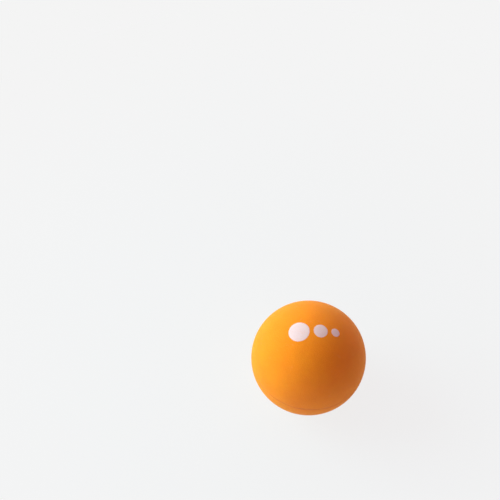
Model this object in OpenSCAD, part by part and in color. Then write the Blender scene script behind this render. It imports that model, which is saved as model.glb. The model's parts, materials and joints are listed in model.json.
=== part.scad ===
// Hollow rubber squash ball in the 50 mm beginner's size.
// Two moulded half shells are bonded edge to edge with a film of rubber
// solution, buffed to one sphere and printed with ink at one pole.
// The origin is the ball's centre. The seam lies in the XY plane, +Z runs out
// through the printed pole, and +X runs along the row of printed dots, from
// the largest to the smallest. Lengths are in millimetres.

/* [Ball] */
// Outside diameter of the finished ball
ball_d = 50; // [40:0.5:60]
// Thickness of the rubber wall
wall = 3.2; // [2:0.1:6]

/* [Seam] */
// Thickness of the cured film of rubber solution between the half shells
film_t = 0.15; // [0.05:0.01:0.4]
// Bevel that buffing leaves on the outer lip of each half shell
lip_bevel = 0.2; // [0.1:0.05:0.5]
// Depth of the film's outer edge below the ball's surface
film_recess = 0.1; // [0.05:0.01:0.3]
// Radius of the bead of solution squeezed out inside the joint
bead_r = 0.5; // [0.3:0.05:1.2]

/* [Print] */
// Diameter of the largest dot
large_dot_d = 9.2; // [6:0.1:10]
// Diameter of the middle dot
middle_dot_d = 6.2; // [4:0.1:8]
// Diameter of the smallest dot
small_dot_d = 4; // [2:0.1:6]
// Bare rubber between one dot and the next, along the surface
dot_gap = 1.6; // [0.8:0.1:4]
// Thickness of the ink
ink_t = 0.05; // [0.02:0.01:0.15]

/* [Hidden] */
$fn = 144;

rubber_colour = "#F6A710";
film_colour = "#D7841C";
ink_colour = "#E7F3F2";

outer_r = ball_d / 2;
inner_r = outer_r - wall;
// Height of a half shell's rim above the plane of the seam
rim_z = film_t / 2;
// Where the flat film begins, just inside its own bead
film_start_r = inner_r - film_t;
// How far a cut runs on past what it cuts
overrun = 1;

dot_ds = [large_dot_d, middle_dot_d, small_dot_d];
last_dot = len(dot_ds) - 1;
row_l = dot_start(last_dot) + dot_ds[last_dot];

// Distance along the row from its start to where dot i starts
function dot_start(i) =
    i == 0 ? 0 : dot_start(i - 1) + dot_ds[i - 1] + dot_gap;

// Turn about the ball's centre that a length along the surface makes
function turn_of(arc_l) = arc_l / outer_r * 180 / PI;

// Section of one half's wall, from its rim to the pole
module wall_section() {
    intersection() {
        difference() {
            circle(r = outer_r);
            circle(r = inner_r);
        }
        translate([0, rim_z]) square(outer_r);
    }
}

// Corner at 45 degrees that comes off the outer lip of the rim
module lip_section() {
    polygon([
        [outer_r - lip_bevel - overrun, rim_z - overrun],
        [outer_r + overrun, rim_z - overrun],
        [outer_r + overrun, rim_z + lip_bevel + overrun]
    ]);
}

module half_shell() {
    rotate_extrude() difference() {
        wall_section();
        lip_section();
    }
}

module upper_half_shell() {
    color(rubber_colour) half_shell();
}

module lower_half_shell() {
    color(rubber_colour) mirror([0, 0, 1]) half_shell();
}

// Flat film between the rims
module film_section() {
    translate([film_start_r, -rim_z])
        square([outer_r - film_recess - film_start_r, film_t]);
}

// Rounded bead that lies on the inside wall, along the joint
module bead_section() {
    intersection() {
        translate([inner_r, 0]) circle(r = bead_r);
        circle(r = inner_r);
    }
}

module seam_film() {
    color(film_colour) rotate_extrude() {
        film_section();
        bead_section();
    }
}

// One dot of ink of even thickness at the pole, curved as the ball is
module dot(d) {
    rotate_extrude() intersection() {
        difference() {
            circle(r = outer_r + ink_t);
            circle(r = outer_r);
        }
        square([d / 2, outer_r + ink_t]);
    }
}

module printed_dots() {
    color(ink_colour)
        for (i = [0 : last_dot]) {
            centre_arc = dot_start(i) + dot_ds[i] / 2 - row_l / 2;
            rotate([0, turn_of(centre_arc), 0]) dot(dot_ds[i]);
        }
}

upper_half_shell();
lower_half_shell();
seam_film();
printed_dots();
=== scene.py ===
"""Looks of a hollow rubber squash ball, laid out as an add-on.

The ball's own axes hold throughout: the seam lies in the XY plane, the print
is round +Z, and the row of dots runs along X. Lengths are in metres.
"""

import json
import math

import bmesh
import bpy
from bpy.props import FloatProperty, FloatVectorProperty, IntProperty, PointerProperty
from bpy.types import Operator, Panel, PropertyGroup
from mathutils import Matrix, Quaternion, Vector, noise


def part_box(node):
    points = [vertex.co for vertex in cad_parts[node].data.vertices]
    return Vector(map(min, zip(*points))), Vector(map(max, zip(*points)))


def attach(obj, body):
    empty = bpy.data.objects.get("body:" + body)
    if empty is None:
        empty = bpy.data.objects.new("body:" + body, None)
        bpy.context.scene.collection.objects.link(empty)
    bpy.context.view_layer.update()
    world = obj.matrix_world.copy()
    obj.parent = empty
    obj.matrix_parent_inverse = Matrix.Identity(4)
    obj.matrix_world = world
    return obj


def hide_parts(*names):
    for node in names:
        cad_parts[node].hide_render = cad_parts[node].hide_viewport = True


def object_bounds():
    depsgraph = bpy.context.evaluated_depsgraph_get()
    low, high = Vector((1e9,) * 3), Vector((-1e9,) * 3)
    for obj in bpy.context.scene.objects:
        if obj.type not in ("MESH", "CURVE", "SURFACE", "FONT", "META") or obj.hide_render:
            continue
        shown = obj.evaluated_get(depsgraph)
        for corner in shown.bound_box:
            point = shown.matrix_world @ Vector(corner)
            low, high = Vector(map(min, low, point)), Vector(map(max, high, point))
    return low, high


bl_info = {
    "name": "Squash Ball",
    "version": (1, 0, 0),
    "blender": (4, 5, 0),
    "location": "View3D > Sidebar > Squash Ball",
    "description": "Models the finish of a hollow rubber ball and sets a soft studio round it",
    "category": "Object",
}

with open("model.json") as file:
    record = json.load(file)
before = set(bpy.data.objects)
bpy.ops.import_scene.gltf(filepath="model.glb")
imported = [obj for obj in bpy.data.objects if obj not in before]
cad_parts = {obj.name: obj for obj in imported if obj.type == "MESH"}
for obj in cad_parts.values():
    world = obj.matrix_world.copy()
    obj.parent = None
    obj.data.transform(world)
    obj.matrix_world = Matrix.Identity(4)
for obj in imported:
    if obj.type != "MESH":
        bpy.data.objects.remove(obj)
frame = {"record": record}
CAD_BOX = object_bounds()
FLOOR_Z = CAD_BOX[0][2]

UPPER_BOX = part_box("upper_half_shell")
DOTS_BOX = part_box("printed_dots")
OUTER_R = UPPER_BOX[1][2]
RIM_Z = UPPER_BOX[0][2]
INK_T = DOTS_BOX[1][2] - OUTER_R
SLOT_COLOURS = {item["slot"]: item["base_color"][:3] for item in frame["record"]["materials"]}

BODY = "root"
# Kinds of the sockets of node groups
FLOAT = "NodeSocketFloat"
VECTOR = "NodeSocketVector"
COLOUR = "NodeSocketColor"
# Two points of a mesh that lie closer than this are one
MERGE_DISTANCE = 1e-7
# Edges with a sharper turn than this are shaded as corners
CORNER_ANGLE = math.radians(50)
# Mesh steps round a quarter of the bead, along a wave of the film and across a dot's edge
BEAD_STEPS = 8
FILM_WAVE_STEPS = 4
DOT_EDGE_STEPS = 6
# How far the film's face rises in the groove, against its length
FILM_FLARE = 0.25
# Height below which a vertex belongs to the lip's bevel, against the bevel
BEVEL_REACH = 1.2
# The lips' middle wear, and how much longer its slow waves are than its quick ones
MIDDLE_WEAR = 0.5
SLOW_WAVE = 4
# How far the noise of a dot's edge is moved, against the dot's diameter
EDGE_NOISE_STEP = 3
# Values between which most of a noise lies
USUAL_NOISE = (0.3, 0.7)
# How many peel bumps and fine grains there are to a grain of middle size
PEEL_SHARE = 0.5
FINE_SHARE = 1.6
# Fine noise from a full hollow to none, and relief from no peak to a full one
HOLLOW_NOISE = (0.36, 0.56)
PEAK_RELIEF = (1.0, 1.2)
# Relief over which roughness goes from its least to its most, and both for each surface
USUAL_RELIEF = (0.6, 1.4)
RUBBER_ROUGHNESS = (0.68, 0.84)
FILM_ROUGHNESS = (0.4, 0.55)
INK_ROUGHNESS = (0.46, 0.6)
# Depth of the grain in the film and in the ink, against the rubber's
FILM_GRAIN = 0.5
INK_GRAIN = 0.6
# Depth of a pit, where the grain's relief goes from 0 to 2, and its radius against its cell
PIT_DEPTH = 0.6
PIT_REACH = 0.3
# Share of the cells that hold a pit, in rubber and ink, and in the film
PIT_SHARE = 0.14
FILM_PIT_SHARE = 0.1
# Noise that makes specks uneven: how much finer than their cells, and how far it moves them
SPECK_NOISE = 3.0
SPECK_STRAY = 0.6
# Parts of a speck's radius and of a seam line's width over which they are full
SPECK_CORE = 0.5
LINE_CORE = 0.4
# Turns of the directions that scuffs run in, and how much longer than wide they are
SCUFF_TURNS = ((0.0, 0.2, 0.5), (0.0, 1.1, 1.9), (0.0, -0.4, 2.7))
SCUFF_STRETCH = 4.0
# Reach of the scuffs in their noise, and the width of their soft edges in it
SCUFF_SHARE = 0.36
SCUFF_EDGE = 0.12
# Distances over which the pigment's depth drifts, its flecks lie and its hue drifts
DEPTH_DRIFT = 0.007
FLECK_LENGTH = 0.00055
HUE_DRIFT = 0.011
# Hues between which the pigment drifts, where a half is no change
HUE_RANGE = (0.497, 0.503)
# Distance over which dust lies thick and thin, a speck's cell, and its radius against that
DUST_DRIFT = 0.004
DUST_CELL = 0.00045
DUST_REACH = 0.25
# Distance over which the seam's lines vary, and the range of their strength and width
SEAM_PATCH = 0.0024
PATCH_NOISE = (0.35, 0.65)
SEAM_STRENGTH = (0.4, 1.0)
SEAM_SWING = (0.6, 1.4)
# How much shorter buffing streaks count along the girth than across it
STREAK_STRETCH = 0.06
# How much painted shade and light the streaks put on the rubber, darker in their furrows and
# lighter on their ridges, and how much they stand out in its relief
STREAK_SHADE = 0.4
STREAK_RELIEF = 0.8
# Thinness of the ink plus depth of a hollow, from where ink holds to where it's missing
MISSED_INK = (0.9, 1.2)


class BallShape(PropertyGroup):
    """Sizes of the moulded halves and of the film that joins them."""

    wall: FloatProperty(
        name="Wall",
        description="Thickness of the rubber wall",
        default=0.0032,
        min=0.001,
        unit="LENGTH",
    )
    lip_bevel: FloatProperty(
        name="Lip bevel",
        description="Corner that buffing takes off the outer lip of each half",
        default=0.0002,
        min=0.00002,
        unit="LENGTH",
    )
    lip_wander: FloatProperty(
        name="Lip wander",
        description="How much wider than elsewhere the lips' bevel is where buffing cut deepest",
        default=0.00008,
        min=0.0,
        unit="LENGTH",
    )
    lip_wave: FloatProperty(
        name="Lip wave",
        description="Distance along the seam over which the lips' bevel grows and shrinks once",
        default=0.0017,
        min=0.0005,
        unit="LENGTH",
    )
    film_recess: FloatProperty(
        name="Film recess",
        description="Depth of the film's outer edge below the ball's surface",
        default=0.0001,
        min=0.0,
        unit="LENGTH",
    )
    film_wander: FloatProperty(
        name="Film wander",
        description="How far the film's outer edge strays in and out",
        default=0.00003,
        min=0.0,
        unit="LENGTH",
    )
    film_wave: FloatProperty(
        name="Film wave",
        description="Distance along the seam over which the film strays once",
        default=0.0015,
        min=0.0005,
        unit="LENGTH",
    )
    bead_r: FloatProperty(
        name="Bead radius",
        description="Radius of the bead of solution squeezed out inside the joint",
        default=0.0005,
        min=0.0001,
        unit="LENGTH",
    )
    cells: IntProperty(
        name="Cells",
        description="Mesh cells along a quarter of the ball's girth, an even number",
        default=96,
        min=8,
        max=120,
        step=2,
    )
    peel_depth: FloatProperty(
        name="Peel depth",
        description="Depth of the fine unevenness of the buffed surface",
        default=0.000008,
        min=0.0,
        unit="LENGTH",
    )
    peel_length: FloatProperty(
        name="Peel length",
        description="Distance over which the fine unevenness rises and falls",
        default=0.0019,
        min=0.0005,
        unit="LENGTH",
    )
    swell_depth: FloatProperty(
        name="Swell depth",
        description="Depth of the slow unevenness of the moulded rubber",
        default=0.00003,
        min=0.0,
        unit="LENGTH",
    )
    swell_length: FloatProperty(
        name="Swell length",
        description="Distance over which the slow unevenness rises and falls",
        default=0.011,
        min=0.002,
        unit="LENGTH",
    )


class PrintShape(PropertyGroup):
    """Sizes of the row of printed dots."""

    dot_diameters: FloatVectorProperty(
        name="Dot diameters",
        description="Diameters of the large, the middle and the small dot",
        default=(0.0092, 0.0062, 0.004),
        unit="LENGTH",
    )
    dot_gap: FloatProperty(
        name="Dot gap",
        description="Bare rubber between one dot and the next, along the surface",
        default=0.0016,
        min=0.0,
        unit="LENGTH",
    )
    edge_width: FloatProperty(
        name="Edge width",
        description="Width over which the ink thins out at a dot's edge",
        default=0.0003,
        min=0.00001,
        unit="LENGTH",
    )
    edge_wander: FloatProperty(
        name="Edge wander",
        description="How far a dot's edge strays from a true circle",
        default=0.00005,
        min=0.0,
        unit="LENGTH",
    )
    edge_wave: FloatProperty(
        name="Edge wave",
        description="Distance along a dot's edge over which it strays once",
        default=0.0008,
        min=0.0001,
        unit="LENGTH",
    )
    soak_depth: FloatProperty(
        name="Soak depth",
        description="How far the ink soaks in below the surface of the rubber",
        default=0.00001,
        min=0.0,
        unit="LENGTH",
    )
    cell: FloatProperty(
        name="Cell",
        description="Size of a dot's mesh cells",
        default=0.0002,
        min=0.00005,
        unit="LENGTH",
    )


class Finish(PropertyGroup):
    """Colours and grain of the rubber, the film and the ink."""

    rubber_colour: FloatVectorProperty(
        name="Rubber",
        description="Colour of the buffed rubber",
        default=SLOT_COLOURS["orange_rubber"],
        min=0.0,
        max=1.0,
        subtype="COLOR",
    )
    film_colour: FloatVectorProperty(
        name="Film",
        description="Colour of the cured rubber solution",
        default=SLOT_COLOURS["rubber_solution"],
        min=0.0,
        max=1.0,
        subtype="COLOR",
    )
    ink_colour: FloatVectorProperty(
        name="Ink",
        description="Colour of the printing ink",
        default=SLOT_COLOURS["pale_ink"],
        min=0.0,
        max=1.0,
        subtype="COLOR",
    )
    # Painted shade: the grain's hollows and pits are tinted towards this darker colour as their
    # shade; it also colours the soiled line along the seam
    hollow_shade_and_soil_colour: FloatVectorProperty(
        name="Hollows",
        description="Colour of the rubber in the grain's hollows, which sheen and wear don't reach",
        default=(0.72, 0.2, 0.004),
        min=0.0,
        max=1.0,
        subtype="COLOR",
    )
    dust_colour: FloatVectorProperty(
        name="Dust",
        description="Colour of the fine rubber dust and lint that handling leaves",
        default=(0.92, 0.58, 0.32),
        min=0.0,
        max=1.0,
        subtype="COLOR",
    )
    grain_size: FloatProperty(
        name="Grain size",
        description="Size of the grains that buffing leaves",
        default=0.0003,
        min=0.0001,
        unit="LENGTH",
    )
    grain_depth: FloatProperty(
        name="Grain depth",
        description="Depth of the grains that buffing leaves",
        default=0.00006,
        min=0.0,
        unit="LENGTH",
    )
    soil_width: FloatProperty(
        name="Soil width",
        description="Width of the soiled line along the seam, to one side of it",
        default=0.0004,
        min=0.0001,
        unit="LENGTH",
    )
    lip_width: FloatProperty(
        name="Lip width",
        description="Width of the rubbed lip along the seam, to one side of it",
        default=0.0009,
        min=0.0001,
        unit="LENGTH",
    )
    band_width: FloatProperty(
        name="Band width",
        description="Width of the band that is buffed along the seam, to one side of it",
        default=0.0035,
        min=0.0001,
        unit="LENGTH",
    )
    scuff_size: FloatProperty(
        name="Scuff size",
        description="Width of the faint scuffs that handling leaves on the grain",
        default=0.002,
        min=0.0001,
        unit="LENGTH",
    )


class Studio(PropertyGroup):
    """Camera, lamp, floor and surroundings."""

    azimuth: FloatProperty(
        name="Azimuth",
        description="Camera's place round the ball; 0 looks along +Y",
        default=math.radians(-14.4),
        subtype="ANGLE",
    )
    elevation: FloatProperty(
        name="Elevation",
        description="Camera's height above the plane of the seam",
        default=math.radians(61.9),
        subtype="ANGLE",
    )
    roll: FloatProperty(
        name="Roll",
        description="Turn of the camera about its line of sight",
        default=math.radians(13.0),
        subtype="ANGLE",
    )
    distance: FloatProperty(
        name="Distance",
        description="From the ball's centre to the camera",
        default=0.7,
        min=0.1,
        unit="LENGTH",
    )
    image_side: IntProperty(
        name="Image side",
        description="Width and height of the picture in pixels",
        default=500,
        subtype="PIXEL",
    )
    ball_pixel: FloatVectorProperty(
        name="Ball's place",
        description="Where the ball's centre lies, in pixels right and down from the corner",
        default=(308.5, 357.8),
        size=2,
    )
    ball_radius_px: FloatProperty(
        name="Ball's radius",
        description="Radius of the ball's outline in the picture, in pixels",
        default=57.2,
    )
    lamp_azimuth: FloatProperty(
        name="Lamp azimuth",
        description="Lamp's place round the ball, counted as the camera's",
        default=math.radians(-107.0),
        subtype="ANGLE",
    )
    lamp_elevation: FloatProperty(
        name="Lamp elevation",
        description="Lamp's height above the plane of the seam",
        default=math.radians(25.0),
        subtype="ANGLE",
    )
    lamp_distance: FloatProperty(
        name="Lamp distance",
        description="From the ball's centre to the lamp",
        default=0.9,
        unit="LENGTH",
    )
    lamp_width: FloatProperty(
        name="Lamp width",
        description="Diameter of the lamp's soft box",
        default=0.72,
        unit="LENGTH",
    )
    lamp_level: FloatProperty(
        name="Lamp level",
        description="Light of the lamp alone on a card that faces it; 1 shows a white card white",
        default=0.75,
    )
    fill_colour: FloatVectorProperty(
        name="Fill colour",
        description="Colour of the light that comes from all round",
        default=(1.0, 0.5, 0.54),
        subtype="COLOR",
    )
    zenith_level: FloatProperty(
        name="Zenith level",
        description="Brightness of the surroundings overhead",
        default=0.24,
    )
    horizon_level: FloatProperty(
        name="Horizon level",
        description="Brightness of the surroundings at the horizon, all round on average",
        default=1.22,
    )
    wall_level: FloatProperty(
        name="Wall level",
        description="How much brighter the horizon is towards the pale wall than on average",
        default=0.6,
    )
    wall_colour: FloatVectorProperty(
        name="Wall colour",
        description="Colour of the light that the pale wall adds, and that lacks on the far side",
        default=(1.0, 0.74, 0.8),
        subtype="COLOR",
    )
    wall_azimuth: FloatProperty(
        name="Wall azimuth",
        description="Where the pale wall stands round the ball, counted as the camera's place",
        default=math.radians(-132.0),
        subtype="ANGLE",
    )
    floor_colour: FloatVectorProperty(
        name="Floor",
        description="Colour of the floor",
        default=(0.8, 0.93, 0.93),
        subtype="COLOR",
    )
    seen_floor_colour: FloatVectorProperty(
        name="Seen floor",
        description="Colour of the lit floor to the camera, over 1 to make up for the pink fill",
        default=(0.8, 1.3, 1.34),
        subtype="COLOR",
    )
    floor_glow: FloatVectorProperty(
        name="Floor glow",
        description="Light that the floor, a lit table, gives off itself",
        default=(0.16, 0.14, 0.16),
        subtype="COLOR",
    )
    backdrop_colour: FloatVectorProperty(
        name="Backdrop",
        description="Colour that the camera sees behind the ball",
        default=(0.905, 0.905, 0.905),
        subtype="COLOR",
    )
    floor_side: FloatProperty(
        name="Floor side",
        description="Width of the floor",
        default=4.0,
        unit="LENGTH",
    )
    near_floor: FloatProperty(
        name="Near floor",
        description="Distance from the ball at which its shadow starts to fade from sight",
        default=0.04,
        unit="LENGTH",
    )
    far_floor: FloatProperty(
        name="Far floor",
        description="Distance from the ball past which the floor looks like the backdrop",
        default=0.22,
        unit="LENGTH",
    )
    shadow_share: FloatProperty(
        name="Shadow share",
        description="Share of its true depth with which the camera sees the shadow by the ball",
        default=0.1,
        min=0.0,
        max=1.0,
        subtype="FACTOR",
    )
    contact_share: FloatProperty(
        name="Contact share",
        description="Share of its true depth with which the camera sees the shadow under the ball",
        default=0.9,
        min=0.0,
        max=1.0,
        subtype="FACTOR",
    )
    contact_reach: FloatProperty(
        name="Contact reach",
        description="Distance from the point of contact at which the shadow under the ball ends",
        default=0.016,
        unit="LENGTH",
    )


class SquashBall(PropertyGroup):
    """All settings of the ball and its studio."""

    shape: PointerProperty(type=BallShape)
    print_shape: PointerProperty(type=PrintShape)
    finish: PointerProperty(type=Finish)
    studio: PointerProperty(type=Studio)


def direction(azimuth, elevation):
    """Unit vector from the ball towards a place round it; azimuth 0 is on the -Y side."""
    level = math.cos(elevation)
    return Vector((math.sin(azimuth) * level, -math.cos(azimuth) * level, math.sin(elevation)))


def add_object(name, data):
    """A new object of some data, linked to the scene."""
    item = bpy.data.objects.new(name, data)
    bpy.context.scene.collection.objects.link(item)
    return item


def add_piece(name, bm, node, material):
    """Makes a bmesh a piece that rides on the ball and stands for a CAD node."""
    for face in bm.faces:
        face.smooth = True
    mesh = bpy.data.meshes.new(name)
    bm.to_mesh(mesh)
    bm.free()
    mesh.set_sharp_from_angle(angle=CORNER_ANGLE)
    mesh.materials.append(material)
    piece = add_object(name, mesh)
    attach(piece, BODY)
    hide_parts(node)


def follow_relief(verts, shape):
    """Sinks vertices along their radius as the uneven rubber does, never above the sphere."""
    for vert in verts:
        peel = noise.noise(vert.co / shape.peel_length)
        swell = noise.noise(vert.co / shape.swell_length)
        sunk = (shape.peel_depth * (1 + peel) + shape.swell_depth * (1 + swell)) / 2
        vert.co -= vert.co.normalized() * sunk


def add_dome(bm, radius, cells):
    """Adds the upper half of a sphere in four-sided cells of even size."""
    bmesh.ops.create_cube(bm, size=2)
    bmesh.ops.subdivide_edges(bm, edges=bm.edges[:], cuts=cells - 1, use_grid_fill=True)
    low_faces = [face for face in bm.faces if face.calc_center_median().z < 0]
    bmesh.ops.delete(bm, geom=low_faces, context="FACES")
    for vert in bm.verts:
        even = Vector([math.tan(part * math.pi / 4) for part in vert.co])
        vert.co = even.normalized() * radius


def wear_lip(bm, shape):
    """Raises the top of the lip's bevel here and there, so that the seam's line varies."""
    lip_r = OUTER_R - shape.lip_bevel
    lip_top = RIM_Z + shape.lip_bevel * BEVEL_REACH
    for vert in bm.verts:
        outward = Vector((vert.co.x, vert.co.y, 0))
        if vert.co.z < lip_top and outward.length > lip_r:
            on_rim = outward.normalized() * OUTER_R
            slow = noise.noise(on_rim / (shape.lip_wave * SLOW_WAVE))
            quick = noise.noise(on_rim / shape.lip_wave)
            share = (outward.length - lip_r) / shape.lip_bevel
            vert.co.z += share * shape.lip_wander * max(0, MIDDLE_WEAR + slow + quick)


def half_shell_mesh(shape):
    """Wall of the upper half: two domes joined at the rim, with a worn outer lip."""
    bm = bmesh.new()
    add_dome(bm, OUTER_R, shape.cells)
    outer_rim = [edge for edge in bm.edges if edge.is_boundary]
    inner = bmesh.ops.duplicate(bm, geom=bm.verts[:] + bm.edges[:] + bm.faces[:])["geom"]
    inner_verts = [item for item in inner if isinstance(item, bmesh.types.BMVert)]
    inner_faces = [item for item in inner if isinstance(item, bmesh.types.BMFace)]
    inner_share = 1 - shape.wall / OUTER_R
    bmesh.ops.scale(bm, vec=(inner_share, inner_share, inner_share), verts=inner_verts)
    bmesh.ops.reverse_faces(bm, faces=inner_faces)
    rim_verts = [vert for vert in bm.verts if vert.is_boundary]
    bmesh.ops.translate(bm, vec=(0, 0, RIM_Z), verts=rim_verts)
    rims = [edge for edge in bm.edges if edge.is_boundary]
    bmesh.ops.bridge_loops(bm, edges=rims)
    bmesh.ops.bevel(
        bm,
        geom=outer_rim,
        offset=shape.lip_bevel,
        segments=3,
        profile=0.5,
        affect="EDGES",
        material=-1,
    )
    wear_lip(bm, shape)
    return bm


def spin_section(section, steps, closed):
    """Spins a line of (radius, height) points once about Z into a new bmesh."""
    bm = bmesh.new()
    verts = [bm.verts.new((radius, 0, height)) for radius, height in section]
    pairs = list(zip(verts, verts[1:]))
    if closed:
        pairs.append((verts[-1], verts[0]))
    edges = [bm.edges.new(pair) for pair in pairs]
    bmesh.ops.spin(
        bm,
        geom=verts + edges,
        cent=(0, 0, 0),
        axis=(0, 0, 1),
        angle=math.tau,
        steps=steps,
        use_merge=True,
    )
    bmesh.ops.remove_doubles(bm, verts=bm.verts[:], dist=MERGE_DISTANCE)
    bmesh.ops.recalc_face_normals(bm, faces=bm.faces[:])
    return bm


def film_mesh(shape):
    """Ring of cured solution: a film that fills the groove of the lips, and a round bead."""
    inner_r = OUTER_R - shape.wall
    lip_r = OUTER_R - shape.lip_bevel
    edge_r = OUTER_R - shape.film_recess
    edge_z = RIM_Z + (edge_r - lip_r) * FILM_FLARE
    section = []
    for step in range(BEAD_STEPS + 1):
        turn = math.pi - math.pi / 2 * step / BEAD_STEPS
        section.append((inner_r + shape.bead_r * math.cos(turn), shape.bead_r * math.sin(turn)))
    section += [(inner_r, RIM_Z), (lip_r, RIM_Z), (edge_r, edge_z)]
    mirrored = [(radius, -height) for radius, height in reversed(section[1:])]
    hollow = [(edge_r - shape.film_wander, 0)]
    steps = round(FILM_WAVE_STEPS * math.tau * OUTER_R / shape.film_wave)
    bm = spin_section(section + hollow + mirrored, steps, closed=True)
    for vert in bm.verts:
        if vert.co.length > lip_r:
            shift = shape.film_wander * noise.noise(vert.co / shape.film_wave)
            vert.co += vert.co.normalized() * shift
    return bm


def dot_places(print_shape):
    """Diameter of each dot, with the turn about Y that swings it from the pole to its place."""
    diameters = print_shape.dot_diameters
    row_length = sum(diameters) + print_shape.dot_gap * (len(diameters) - 1)
    start = -row_length / 2
    places = []
    for diameter in diameters:
        places.append((diameter, (start + diameter / 2) / OUTER_R))
        start += diameter + print_shape.dot_gap
    return places


def dot_section(diameter, print_shape):
    """Line from the middle of a dot's face over its edge to the middle of its back."""
    radius = diameter / 2
    flat = radius - print_shape.edge_width
    flat_steps = round(flat / print_shape.cell)
    face = [(flat * step / flat_steps, INK_T) for step in range(flat_steps)]
    for step in range(DOT_EDGE_STEPS + 1):
        share = step / DOT_EDGE_STEPS
        across = flat + print_shape.edge_width * share
        face.append((across, INK_T * (1 + math.cos(math.pi * share)) / 2))
    face.append((radius, -print_shape.soak_depth))
    back = [(radius * step / flat_steps, -print_shape.soak_depth) for step in range(flat_steps)]
    section = []
    for across, rise in face + back[::-1]:
        turn = across / OUTER_R
        section.append(((OUTER_R + rise) * math.sin(turn), (OUTER_R + rise) * math.cos(turn)))
    return section


def dot_mesh(diameter, turn, print_shape):
    """One dot of ink that follows the ball, with an edge that strays a little."""
    steps = round(math.pi * diameter / print_shape.cell)
    bm = spin_section(dot_section(diameter, print_shape), steps, closed=False)
    radius = diameter / 2
    own_noise = Vector((0, 0, diameter * EDGE_NOISE_STEP))
    for vert in bm.verts:
        side = Vector((vert.co.x, vert.co.y, 0))
        if side.length < MERGE_DISTANCE:
            continue
        share = side.length / radius
        on_edge = side.normalized() * radius
        shift = noise.noise((on_edge + own_noise) / print_shape.edge_wave)
        swing = share * print_shape.edge_wander * shift / OUTER_R
        vert.co.rotate(Quaternion(Vector((-side.y, side.x, 0)), swing))
    bmesh.ops.rotate(bm, cent=(0, 0, 0), matrix=Matrix.Rotation(turn, 3, "Y"), verts=bm.verts[:])
    return bm


def place(tree, kind, values, **options):
    """Adds a node with its options, and links or sets its sockets by name or number."""
    node = tree.nodes.new(kind)
    for option, value in options.items():
        setattr(node, option, value)
    for socket, value in values.items():
        if isinstance(value, bpy.types.NodeSocket):
            tree.links.new(value, node.inputs[socket])
        else:
            node.inputs[socket].default_value = value
    return node


def calculate(tree, operation, *values):
    """Result of a Math node."""
    return place(tree, "ShaderNodeMath", dict(enumerate(values)), operation=operation).outputs[0]


def spread(tree, value, low, high, to_low=0.0, to_high=1.0, curve="LINEAR"):
    """Result of a Map Range node that takes low..high to to_low..to_high."""
    ends = {"Value": value, "From Min": low, "From Max": high, "To Min": to_low, "To Max": to_high}
    return place(tree, "ShaderNodeMapRange", ends, interpolation_type=curve).outputs["Result"]


def blend(tree, share, first, second, mode="MIX"):
    """Mixed colour of a Mix node."""
    # The node's sockets for numbers and vectors come before those for colours
    values = {0: share, 6: first, 7: second}
    return place(tree, "ShaderNodeMix", values, data_type="RGBA", blend_type=mode).outputs[2]


def noise_value(tree, vector, scale, detail=2.0, roughness=0.5):
    """Value of a Noise Texture, around a half."""
    values = {"Vector": vector, "Scale": scale, "Detail": detail, "Roughness": roughness}
    return place(tree, "ShaderNodeTexNoise", values).outputs["Fac"]


def new_group(name, inputs, outputs):
    """Starts a shader node group, and returns it with its input and output nodes."""
    group = bpy.data.node_groups.new(name, "ShaderNodeTree")
    for socket, kind in inputs.items():
        group.interface.new_socket(socket, in_out="INPUT", socket_type=kind)
    for socket, kind in outputs.items():
        group.interface.new_socket(socket, in_out="OUTPUT", socket_type=kind)
    return group, group.nodes.new("NodeGroupInput").outputs, group.nodes.new("NodeGroupOutput")


def use_group(tree, name, build, values):
    """Outputs of a shared node group, which is built the first time that it's asked for."""
    group = bpy.data.node_groups.get(name) or build(name)
    return place(tree, "ShaderNodeGroup", values, node_tree=group).outputs


def stray(tree, vector, scale, reach):
    """A vector that noise shifts to and fro, so that round shapes come out uneven."""
    values = {"Vector": vector, "Scale": scale, "Detail": 1.0}
    shift = place(tree, "ShaderNodeTexNoise", values).outputs["Color"]
    sums = {0: shift, 1: reach, 2: vector}
    return place(tree, "ShaderNodeVectorMath", sums, operation="MULTIPLY_ADD").outputs[0]


def specks(tree, vector, scale, amount, reach):
    """Mask of specks in some of a pattern's cells, from a third of the reach to all of it."""
    uneven_scale = calculate(tree, "MULTIPLY", scale, SPECK_NOISE)
    uneven = stray(tree, vector, uneven_scale, calculate(tree, "DIVIDE", SPECK_STRAY, scale))
    cell = place(tree, "ShaderNodeTexVoronoi", {"Vector": uneven, "Scale": scale}).outputs
    chances = place(tree, "ShaderNodeSeparateColor", {0: cell["Color"]}).outputs
    chosen = calculate(tree, "LESS_THAN", chances[0], amount)
    largest = spread(tree, chances[1], 0.0, 1.0, reach / 3, reach)
    across = calculate(tree, "DIVIDE", cell["Distance"], largest)
    inside = spread(tree, across, SPECK_CORE, 1.0, 1.0, 0.0, curve="SMOOTHSTEP")
    return calculate(tree, "MULTIPLY", chosen, inside)


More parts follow.
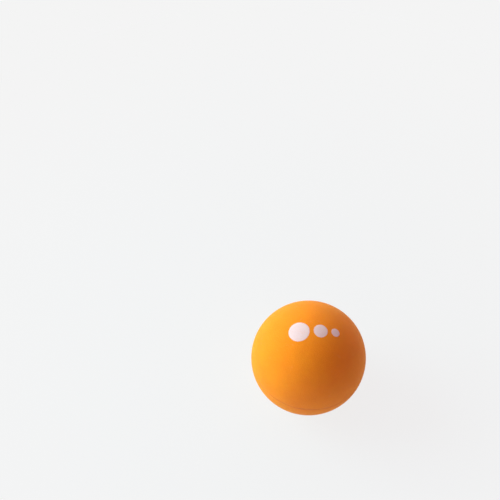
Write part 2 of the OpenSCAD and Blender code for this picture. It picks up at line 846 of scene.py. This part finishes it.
def build_grain(name):
    """Relief of buffed rubber, round 1, with masks of its pits, its hollows and its peaks."""
    inputs = {"Vector": VECTOR, "Scale": FLOAT, "Pits": FLOAT}
    outputs = {"Height": FLOAT, "Pits": FLOAT, "Hollows": FLOAT, "Peaks": FLOAT}
    tree, given, result = new_group(name, inputs, outputs)
    point, scale = given["Vector"], given["Scale"]
    peel = noise_value(tree, point, calculate(tree, "MULTIPLY", scale, PEEL_SHARE), detail=1.0)
    fine_scale = calculate(tree, "MULTIPLY", scale, FINE_SHARE)
    fine = noise_value(tree, point, fine_scale, detail=3.0, roughness=0.7)
    rise = calculate(tree, "ADD", peel, fine)
    pits = specks(tree, point, scale, given["Pits"], PIT_REACH)
    height = calculate(tree, "MULTIPLY_ADD", pits, -PIT_DEPTH, rise)
    hollows = spread(tree, fine, *HOLLOW_NOISE, 1.0, 0.0)
    peaks = spread(tree, rise, *PEAK_RELIEF, curve="SMOOTHSTEP")
    values = {"Height": height, "Pits": pits, "Hollows": hollows, "Peaks": peaks}
    for output, value in values.items():
        tree.links.new(value, result.inputs[output])
    return tree


def build_scuffs(name):
    """Long faint scuffs in a few directions, here and there, as a mask."""
    inputs = {"Vector": VECTOR, "Scale": FLOAT, "Share": FLOAT}
    tree, given, result = new_group(name, inputs, {"Mask": FLOAT})
    start = calculate(tree, "SUBTRACT", 1.0, given["Share"])
    end = calculate(tree, "ADD", start, SCUFF_EDGE)
    total = 0.0
    for turn in SCUFF_TURNS:
        size = (SCUFF_STRETCH, 1.0, 1.0)
        values = {"Vector": given["Vector"], "Rotation": turn, "Scale": size}
        along = place(tree, "ShaderNodeMapping", values, vector_type="TEXTURE").outputs[0]
        value = noise_value(tree, along, given["Scale"], detail=4.0, roughness=0.6)
        total = calculate(tree, "MAXIMUM", total, spread(tree, value, start, end))
    tree.links.new(total, result.inputs["Mask"])
    return tree


def build_mottle(name):
    """Uneven pigment: slow drifts and fine flecks of a colour's depth and hue."""
    inputs = {"Vector": VECTOR, "Color": COLOUR, "Depth": FLOAT}
    tree, given, result = new_group(name, inputs, {"Color": COLOUR})
    slow = noise_value(tree, given["Vector"], 1 / DEPTH_DRIFT)
    fine = noise_value(tree, given["Vector"], 1 / FLECK_LENGTH, detail=3.0, roughness=0.7)
    both = calculate(tree, "SUBTRACT", calculate(tree, "ADD", slow, fine), 1.0)
    value = calculate(tree, "MULTIPLY_ADD", both, given["Depth"], 1.0)
    hue_noise = noise_value(tree, given["Vector"], 1 / HUE_DRIFT, detail=1.0)
    hue = spread(tree, hue_noise, *USUAL_NOISE, *HUE_RANGE)
    values = {"Hue": hue, "Saturation": 1.0, "Value": value, "Fac": 1.0, "Color": given["Color"]}
    toned = place(tree, "ShaderNodeHueSaturation", values).outputs["Color"]
    tree.links.new(toned, result.inputs["Color"])
    return tree


def build_dust(name):
    """Sparse specks of dust of uneven size and shape, thickest in drifts, as a mask."""
    inputs = {"Vector": VECTOR, "Amount": FLOAT}
    tree, given, result = new_group(name, inputs, {"Mask": FLOAT})
    drift = noise_value(tree, given["Vector"], 1 / DUST_DRIFT)
    amount = calculate(tree, "MULTIPLY", drift, given["Amount"])
    mask = specks(tree, given["Vector"], 1 / DUST_CELL, amount, DUST_REACH)
    tree.links.new(mask, result.inputs["Mask"])
    return tree


def build_seam_bands(name):
    """Masks along the seam, of the soiled line, the rubbed lips and the buffed band."""
    inputs = {"Vector": VECTOR, "Soil Width": FLOAT, "Lips Width": FLOAT, "Band Width": FLOAT}
    outputs = {"Soil": FLOAT, "Lips": FLOAT, "Band": FLOAT}
    tree, given, result = new_group(name, inputs, outputs)
    height = place(tree, "ShaderNodeSeparateXYZ", {0: given["Vector"]}).outputs["Z"]
    off_seam = calculate(tree, "ABSOLUTE", height)
    patchy = noise_value(tree, given["Vector"], 1 / SEAM_PATCH, detail=3.0)
    kept = spread(tree, patchy, *PATCH_NOISE, *SEAM_STRENGTH)
    wavy = spread(tree, patchy, *USUAL_NOISE, *SEAM_SWING)
    for mask, share in (("Soil", kept), ("Lips", kept), ("Band", 1.0)):
        width = calculate(tree, "MULTIPLY", given[mask + " Width"], wavy)
        away = calculate(tree, "DIVIDE", off_seam, width)
        inside = spread(tree, away, LINE_CORE, 1.0, 1.0, 0.0, curve="SMOOTHSTEP")
        tree.links.new(calculate(tree, "MULTIPLY", inside, share), result.inputs[mask])
    return tree


def build_streaks(name):
    """Fine streaks along the girth that buffing the joint leaves, as a relief round a half."""
    inputs = {"Vector": VECTOR, "Scale": FLOAT}
    tree, given, result = new_group(name, inputs, {"Height": FLOAT})
    values = {"Vector": given["Vector"], "Scale": (STREAK_STRETCH, STREAK_STRETCH, 1.0)}
    stretched = place(tree, "ShaderNodeMapping", values).outputs[0]
    streak = noise_value(tree, stretched, given["Scale"], detail=3.0, roughness=0.7)
    tree.links.new(streak, result.inputs["Height"])
    return tree


def new_material(name):
    """An empty node material, with its tree, its shader and the point being shaded."""
    material = bpy.data.materials.new(name)
    material.use_nodes = True
    tree = material.node_tree
    shader = next(node for node in tree.nodes if node.type == "BSDF_PRINCIPLED")
    point = tree.nodes.new("ShaderNodeTexCoord").outputs["Object"]
    return material, tree, shader, point


def opaque(colour):
    """A colour with its alpha, as a node's colour socket takes it."""
    return (*colour, 1.0)


def tint(tree, colour, mask, share, other):
    """A colour mixed with some share of another where a mask is 1."""
    return blend(tree, calculate(tree, "MULTIPLY", mask, share), colour, opaque(other))


def finish_surface(tree, shader, colour, roughness, height, depth):
    """Links a colour, a roughness and a height of some depth to the shader."""
    bump = place(tree, "ShaderNodeBump", {"Strength": 1.0, "Distance": depth, "Height": height})
    tree.links.new(colour, shader.inputs["Base Color"])
    tree.links.new(roughness, shader.inputs["Roughness"])
    tree.links.new(bump.outputs["Normal"], shader.inputs["Normal"])


def add_grain(tree, point, finish, pit_share=PIT_SHARE):
    """Relief and masks of the buffed grain."""
    values = {"Vector": point, "Scale": 1 / finish.grain_size, "Pits": pit_share}
    return use_group(tree, "Buffed grain", build_grain, values)


def add_scuffs(tree, point, finish, peaks):
    """Mask of the grain's peaks that the faint scuffs reach."""
    values = {"Vector": point, "Scale": 1 / finish.scuff_size, "Share": SCUFF_SHARE}
    scuffs = use_group(tree, "Faint scuffs", build_scuffs, values)["Mask"]
    return calculate(tree, "MULTIPLY", scuffs, peaks)


def add_streaks(tree, point, finish):
    """Relief of the buffing streaks, round a half."""
    values = {"Vector": point, "Scale": 1 / finish.grain_size}
    return use_group(tree, "Buffing streaks", build_streaks, values)["Height"]


def add_dust(tree, point, amount):
    """Mask of the specks of dust."""
    values = {"Vector": point, "Amount": amount}
    return use_group(tree, "Handling dust", build_dust, values)["Mask"]


def add_mottle(tree, point, colour, depth):
    """A plain colour as uneven pigment shows it."""
    values = {"Vector": point, "Color": opaque(colour), "Depth": depth}
    return use_group(tree, "Pigment mottle", build_mottle, values)["Color"]


def rubber_material(finish):
    """Matte orange rubber, buffed all over and most along the joint, with a little dust, and
    painted shade in its grain's hollows and pits and along its streaks.
    """
    material, tree, shader, point = new_material("buffed orange rubber")
    grain = add_grain(tree, point, finish)
    scuffs = add_scuffs(tree, point, finish, grain["Peaks"])
    seam_values = {
        "Vector": point,
        "Soil Width": finish.soil_width,
        "Lips Width": finish.lip_width,
        "Band Width": finish.band_width,
    }
    seam = use_group(tree, "Seam bands", build_seam_bands, seam_values)
    streaks = add_streaks(tree, point, finish)
    dust = add_dust(tree, point, amount=0.1)
    toned = add_mottle(tree, point, finish.rubber_colour, depth=0.13)
    # Painted shade in the hollows of the grain
    hollow_shaded = tint(tree, toned, grain["Hollows"], share=0.4, other=finish.hollow_shade_and_soil_colour)
    banded = calculate(tree, "MULTIPLY", calculate(tree, "SUBTRACT", streaks, 0.5), seam["Band"])
    # Painted shade and light that follow the buffing streaks' relief
    streak_painted_shade = calculate(tree, "MULTIPLY_ADD", banded, STREAK_SHADE, 1.0)
    streaked = blend(tree, 1.0, hollow_shaded, streak_painted_shade, mode="MULTIPLY")
    # Painted shade in the pits
    pitted = tint(tree, streaked, grain["Pits"], share=0.6, other=finish.hollow_shade_and_soil_colour)
    scuffed = tint(tree, pitted, scuffs, share=0.3, other=finish.dust_colour)
    rubbed = tint(tree, scuffed, seam["Lips"], share=0.08, other=finish.dust_colour)
    soiled = tint(tree, rubbed, seam["Soil"], share=0.4, other=finish.hollow_shade_and_soil_colour)
    dusted = tint(tree, soiled, dust, share=0.3, other=finish.dust_colour)
    height = calculate(tree, "MULTIPLY_ADD", banded, STREAK_RELIEF, grain["Height"])
    roughness = spread(tree, height, *USUAL_RELIEF, *RUBBER_ROUGHNESS)
    finish_surface(tree, shader, dusted, roughness, height, finish.grain_depth)
    shader.inputs["Specular IOR Level"].default_value = 0.6
    shader.inputs["Sheen Weight"].default_value = 0.08
    shader.inputs["Sheen Roughness"].default_value = 0.5
    shader.inputs["Sheen Tint"].default_value = (1.0, 0.95, 0.2, 1.0)
    shader.inputs["Subsurface Weight"].default_value = 0.1
    shader.inputs["Subsurface Radius"].default_value = (1.0, 0.35, 0.08)
    shader.inputs["Subsurface Scale"].default_value = 0.001
    return material


def film_material(finish):
    """Cured rubber solution, darker and smoother than the rubber that it joins, with painted shade
    in its grain's hollows.
    """
    material, tree, shader, point = new_material("cured rubber solution")
    grain = add_grain(tree, point, finish, pit_share=FILM_PIT_SHARE)
    streaks = add_streaks(tree, point, finish)
    toned = add_mottle(tree, point, finish.film_colour, depth=0.5)
    dust = add_dust(tree, point, amount=0.4)
    # Painted shade in the hollows of the grain
    hollow_shaded = tint(tree, toned, grain["Hollows"], share=0.3, other=finish.hollow_shade_and_soil_colour)
    dusted = tint(tree, hollow_shaded, dust, share=0.4, other=finish.dust_colour)
    roughness = spread(tree, grain["Height"], *USUAL_RELIEF, *FILM_ROUGHNESS)
    height = calculate(tree, "ADD", grain["Height"], streaks)
    finish_surface(tree, shader, dusted, roughness, height, finish.grain_depth * FILM_GRAIN)
    return material


def depth_in_print(tree, point, print_shape):
    """How far inside the edge of its dot a point of the print lies."""
    depth = 0.0
    for diameter, turn in dot_places(print_shape):
        middle = Vector((math.sin(turn), 0, math.cos(turn))) * (OUTER_R + INK_T)
        away = place(tree, "ShaderNodeVectorMath", {0: point, 1: middle}, operation="DISTANCE")
        inside = calculate(tree, "SUBTRACT", diameter / 2, away.outputs["Value"])
        depth = calculate(tree, "MAXIMUM", depth, inside)
    return depth


def ink_material(finish, print_shape):
    """Pale ink, thin enough for the grain and a breath of the rubber to show through."""
    material, tree, shader, point = new_material("pale printing ink")
    grain = add_grain(tree, point, finish)
    scuffs = add_scuffs(tree, point, finish, grain["Peaks"])
    toned = add_mottle(tree, point, finish.ink_colour, depth=0.06)
    printed = tint(tree, toned, grain["Hollows"], share=0.06, other=finish.rubber_colour)
    inward = depth_in_print(tree, point, print_shape)
    thin = spread(tree, inward, 0.0, print_shape.edge_width, 1.0, 0.0)
    thin_or_hollow = calculate(tree, "ADD", thin, grain["Hollows"])
    missed = spread(tree, thin_or_hollow, *MISSED_INK)
    edged = tint(tree, printed, missed, share=0.85, other=finish.rubber_colour)
    pitted = tint(tree, edged, grain["Pits"], share=0.5, other=finish.rubber_colour)
    worn = tint(tree, pitted, scuffs, share=0.35, other=finish.rubber_colour)
    roughness = spread(tree, grain["Height"], *USUAL_RELIEF, *INK_ROUGHNESS)
    depth = finish.grain_depth * INK_GRAIN
    finish_surface(tree, shader, worn, roughness, grain["Height"], depth)
    shader.inputs["Specular IOR Level"].default_value = 0.45
    return material


def background_seen(tree):
    """1 for rays from the camera, a gloss or a glass, which see the pale backdrop, else 0."""
    rays = tree.nodes.new("ShaderNodeLightPath").outputs
    gloss_or_glass = calculate(tree, "MAXIMUM", rays["Is Glossy Ray"], rays["Is Transmission Ray"])
    return calculate(tree, "MAXIMUM", rays["Is Camera Ray"], gloss_or_glass)


def floor_material(studio):
    """Pale floor that lights and shadows as it should, and is seen nearly as the backdrop.

    A camera below it sees through it, so that the underside of the ball can be looked at.
    """
    material = bpy.data.materials.new("pale floor")
    material.use_nodes = True
    tree = material.node_tree
    tree.nodes.clear()
    point = tree.nodes.new("ShaderNodeTexCoord").outputs["Object"]
    contact_point = {0: point, 1: (0.0, 0.0, FLOOR_Z)}
    apart = place(tree, "ShaderNodeVectorMath", contact_point, operation="DISTANCE")
    away = apart.outputs["Value"]
    reach = (studio.near_floor, studio.far_floor)
    soft_share = spread(tree, away, *reach, studio.shadow_share, 0.0, curve="SMOOTHSTEP")
    # The shadow of the contact is full over the first third of its reach
    contact = (studio.contact_reach / 3, studio.contact_reach)
    contact_share = spread(tree, away, *contact, studio.contact_share, 0.0, curve="SMOOTHSTEP")
    lit_share = calculate(tree, "MAXIMUM", soft_share, contact_share)
    plain_share = calculate(tree, "SUBTRACT", 1.0, lit_share)
    seen = background_seen(tree)
    share = calculate(tree, "MULTIPLY", seen, plain_share)
    unseen = calculate(tree, "SUBTRACT", 1.0, seen)
    colours = (opaque(studio.floor_colour), opaque(studio.seen_floor_colour))
    floor = place(tree, "ShaderNodeBsdfDiffuse", {"Color": blend(tree, seen, *colours)})
    glow_values = {"Color": opaque(studio.floor_glow), "Strength": unseen}
    glow = place(tree, "ShaderNodeEmission", glow_values)
    lit = place(tree, "ShaderNodeAddShader", {0: floor.outputs[0], 1: glow.outputs[0]})
    plain = place(tree, "ShaderNodeEmission", {"Color": opaque(studio.backdrop_colour)})
    mixed = place(tree, "ShaderNodeMixShader", {0: share, 1: lit.outputs[0], 2: plain.outputs[0]})
    back = tree.nodes.new("ShaderNodeNewGeometry").outputs["Backfacing"]
    camera_ray = tree.nodes.new("ShaderNodeLightPath").outputs["Is Camera Ray"]
    from_below = calculate(tree, "MULTIPLY", back, camera_ray)
    clear = tree.nodes.new("ShaderNodeBsdfTransparent")
    sides = {0: from_below, 1: mixed.outputs[0], 2: clear.outputs[0]}
    whole = place(tree, "ShaderNodeMixShader", sides)
    place(tree, "ShaderNodeOutputMaterial", {"Surface": whole.outputs[0]})
    return material


def add_floor(studio):
    """Lays the floor under the ball."""
    bm = bmesh.new()
    bmesh.ops.create_grid(bm, x_segments=1, y_segments=1, size=studio.floor_side / 2)
    bmesh.ops.translate(bm, vec=(0, 0, FLOOR_Z), verts=bm.verts[:])
    mesh = bpy.data.meshes.new("floor")
    bm.to_mesh(mesh)
    bm.free()
    mesh.materials.append(floor_material(studio))
    floor = add_object("floor", mesh)


def add_world(studio):
    """Lights the ball softly from all round, with a pale backdrop for the camera."""
    world = bpy.data.worlds.new("studio")
    world.use_nodes = True
    tree = world.node_tree
    tree.nodes.clear()
    ray = tree.nodes.new("ShaderNodeTexCoord").outputs["Generated"]
    height = place(tree, "ShaderNodeSeparateXYZ", {0: ray}).outputs["Z"]
    rise = spread(tree, height, 0.0, 1.0, studio.horizon_level, studio.zenith_level)
    even = blend(tree, 1.0, opaque(studio.fill_colour), rise, mode="MULTIPLY")
    wall = direction(studio.wall_azimuth, 0) * studio.wall_level
    towards = place(tree, "ShaderNodeVectorMath", {0: ray, 1: wall}, operation="DOT_PRODUCT")
    tilt = (Vector(studio.wall_colour), towards.outputs["Value"], even)
    both = place(tree, "ShaderNodeVectorMath", dict(enumerate(tilt)), operation="MULTIPLY_ADD")
    light = {0: both.outputs[0], 1: (0.0, 0.0, 0.0)}
    colour = place(tree, "ShaderNodeVectorMath", light, operation="MAXIMUM").outputs[0]
    fill = place(tree, "ShaderNodeBackground", {"Color": colour})
    plain = place(tree, "ShaderNodeBackground", {"Color": opaque(studio.backdrop_colour)})
    seen = {0: background_seen(tree), 1: fill.outputs[0], 2: plain.outputs[0]}
    mixed = place(tree, "ShaderNodeMixShader", seen)
    place(tree, "ShaderNodeOutputWorld", {"Surface": mixed.outputs[0]})
    bpy.context.scene.world = world


def add_lamp(studio):
    """Hangs a large soft lamp up to the left of the camera."""
    light = bpy.data.lights.new("soft lamp", "AREA")
    light.shape = "DISK"
    light.size = studio.lamp_width
    # At this energy a white card that faces the disk shows the lamp's level
    edge_distance_squared = studio.lamp_distance**2 + studio.lamp_width**2 / 4
    light.energy = studio.lamp_level * math.pi**2 * edge_distance_squared
    lamp = add_object("soft lamp", light)
    towards = direction(studio.lamp_azimuth, studio.lamp_elevation)
    lamp.location = towards * studio.lamp_distance
    lamp.rotation_mode = "QUATERNION"
    lamp.rotation_quaternion = (-towards).to_track_quat("-Z", "Y")
    lamp.visible_camera = False
    lamp.visible_glossy = False


def add_camera(studio):
    """Sets the camera so that the ball lies in the picture where and as large as it should."""
    data = bpy.data.cameras.new("camera")
    camera = add_object("camera", data)
    outline_tangent = math.tan(math.asin(OUTER_R / studio.distance))
    focal_px = studio.ball_radius_px / outline_tangent
    data.lens = data.sensor_width * focal_px / studio.image_side
    middle = studio.image_side / 2
    ray = Vector((studio.ball_pixel[0] - middle, middle - studio.ball_pixel[1], -focal_px))
    back = direction(studio.azimuth, studio.elevation)
    level = (-back).to_track_quat("-Z", "Y")
    roll = Quaternion((0, 0, 1), studio.roll)
    aside = ray.rotation_difference(Vector((0, 0, -1)))
    camera.rotation_mode = "QUATERNION"
    camera.rotation_quaternion = level @ roll @ aside
    camera.location = back * studio.distance
    bpy.context.scene.camera = camera


class SQUASH_BALL_OT_half_shells(Operator):
    """Model both moulded halves of the ball in buffed rubber"""

    bl_idname = "squash_ball.half_shells"
    bl_label = "Half Shells"

    def execute(self, context):
        ball = context.scene.squash_ball
        material = rubber_material(ball.finish)
        middle_r = OUTER_R - ball.shape.wall / 2
        for side, turn in (("upper", 0), ("lower", math.pi)):
            bm = half_shell_mesh(ball.shape)
            swing = Matrix.Rotation(turn, 3, "X")
            bmesh.ops.rotate(bm, cent=(0, 0, 0), matrix=swing, verts=bm.verts[:])
            follow_relief([vert for vert in bm.verts if vert.co.length > middle_r], ball.shape)
            add_piece(f"buffed_{side}_half", bm, f"{side}_half_shell", material)
        return {"FINISHED"}


class SQUASH_BALL_OT_seam_film(Operator):
    """Model the film of rubber solution that joins the halves"""

    bl_idname = "squash_ball.seam_film"
    bl_label = "Seam Film"

    def execute(self, context):
        ball = context.scene.squash_ball
        material = film_material(ball.finish)
        add_piece("cured_film", film_mesh(ball.shape), "seam_film", material)
        return {"FINISHED"}


class SQUASH_BALL_OT_printed_dots(Operator):
    """Print the row of dots round the pole"""

    bl_idname = "squash_ball.printed_dots"
    bl_label = "Printed Dots"

    def execute(self, context):
        ball = context.scene.squash_ball
        material = ink_material(ball.finish, ball.print_shape)
        names = ("large_dot", "middle_dot", "small_dot")
        for name, (diameter, turn) in zip(names, dot_places(ball.print_shape), strict=True):
            bm = dot_mesh(diameter, turn, ball.print_shape)
            follow_relief(bm.verts, ball.shape)
            add_piece(name, bm, "printed_dots", material)
        return {"FINISHED"}


class SQUASH_BALL_OT_studio(Operator):
    """Set the camera, the lamp, the floor and the surroundings"""

    bl_idname = "squash_ball.studio"
    bl_label = "Studio"

    def execute(self, context):
        studio = context.scene.squash_ball.studio
        add_camera(studio)
        add_lamp(studio)
        add_floor(studio)
        add_world(studio)
        context.scene.view_settings.view_transform = "Standard"
        return {"FINISHED"}


class VIEW3D_PT_squash_ball(Panel):
    """Lists the ball's settings and the operators that make its pieces"""

    bl_label = "Squash Ball"
    bl_idname = "VIEW3D_PT_squash_ball"
    bl_space_type = "VIEW_3D"
    bl_region_type = "UI"
    bl_category = "Squash Ball"

    def draw(self, context):
        ball = context.scene.squash_ball
        for group in (ball.shape, ball.print_shape, ball.finish, ball.studio):
            box = self.layout.box()
            for setting in group.bl_rna.properties:
                if setting.identifier not in ("rna_type", "name"):
                    box.prop(group, setting.identifier)
        for operator in OPERATORS:
            self.layout.operator(operator.bl_idname)


OPERATORS = (
    SQUASH_BALL_OT_half_shells,
    SQUASH_BALL_OT_seam_film,
    SQUASH_BALL_OT_printed_dots,
    SQUASH_BALL_OT_studio,
)
CLASSES = (BallShape, PrintShape, Finish, Studio, SquashBall, *OPERATORS, VIEW3D_PT_squash_ball)


def register():
    """Registers the settings, the operators and the panel."""
    for item in CLASSES:
        bpy.utils.register_class(item)
    bpy.types.Scene.squash_ball = PointerProperty(type=SquashBall)


def unregister():
    """Takes the settings, the operators and the panel out again."""
    del bpy.types.Scene.squash_ball
    for item in reversed(CLASSES):
        bpy.utils.unregister_class(item)


def main():
    """Makes the ball and its studio."""
    register()
    bpy.ops.squash_ball.half_shells()
    bpy.ops.squash_ball.seam_film()
    bpy.ops.squash_ball.printed_dots()
    bpy.ops.squash_ball.studio()


if __name__ == "__main__":
    main()
